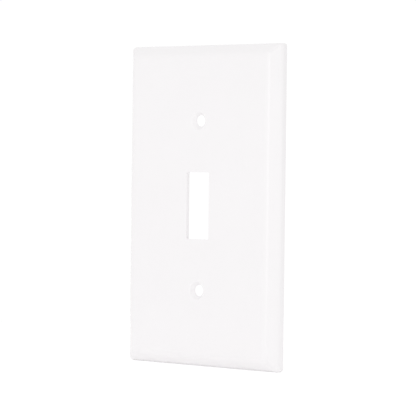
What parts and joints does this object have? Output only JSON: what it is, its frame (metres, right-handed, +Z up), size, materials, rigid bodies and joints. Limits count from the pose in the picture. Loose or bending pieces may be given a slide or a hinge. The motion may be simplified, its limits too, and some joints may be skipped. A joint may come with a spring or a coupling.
{
  "type": "wall plate cover",
  "caption": "White bevelled wall plate cover for a toggle switch, with a hollow ribbed back, countersunk screw holes and a tall rectangular toggle opening.",
  "frame": {"origin": "middle of the plate on the wall plane that its rim rests on", "axes": "+Z up the wall, +Y into the wall, +X to the right seen from the front; the face looks along -Y"},
  "size_m": [0.0698, 0.0062, 0.1142],
  "materials": {
    "white_moulded_plastic": "smooth moulded white thermoset plastic with a soft satin gloss"
  },
  "bodies": {
    "root": {"wall_plate": "white_moulded_plastic"}
  },
  "joints": []
}
